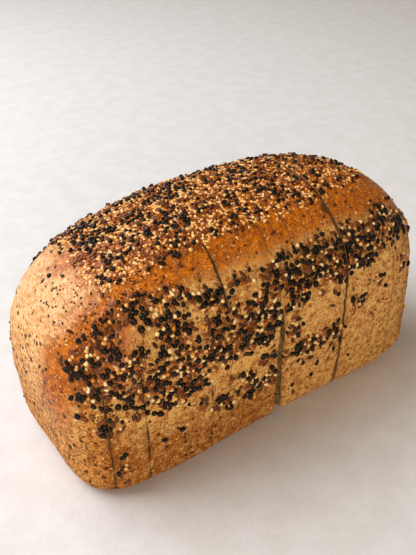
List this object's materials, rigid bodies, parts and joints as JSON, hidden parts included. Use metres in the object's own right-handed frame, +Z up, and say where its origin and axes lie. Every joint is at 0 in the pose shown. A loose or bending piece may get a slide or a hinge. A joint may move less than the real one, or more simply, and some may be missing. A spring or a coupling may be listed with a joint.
{
  "type": "sliced tin loaf",
  "caption": "Sliced wholegrain tin loaf with a domed seeded crust, straight flared sides and its slices standing together.",
  "frame": {"origin": "centre of the loaf's base, where it stands", "axes": "+X along the loaf's length towards its right end, +Z up"},
  "size_m": [0.22, 0.1045, 0.1175],
  "materials": {
    "crust": "satin",
    "slice": "matte"
  },
  "bodies": {
    "root": {"heel_left": "crust", "slice_01": "slice", "slice_02": "slice", "slice_03": "slice", "slice_04": "slice", "slice_05": "slice", "slice_06": "slice", "slice_07": "slice", "slice_08": "slice", "slice_09": "slice", "slice_10": "slice", "slice_11": "slice", "slice_12": "slice", "slice_13": "slice", "slice_14": "slice", "heel_right": "crust"}
  },
  "joints": []
}
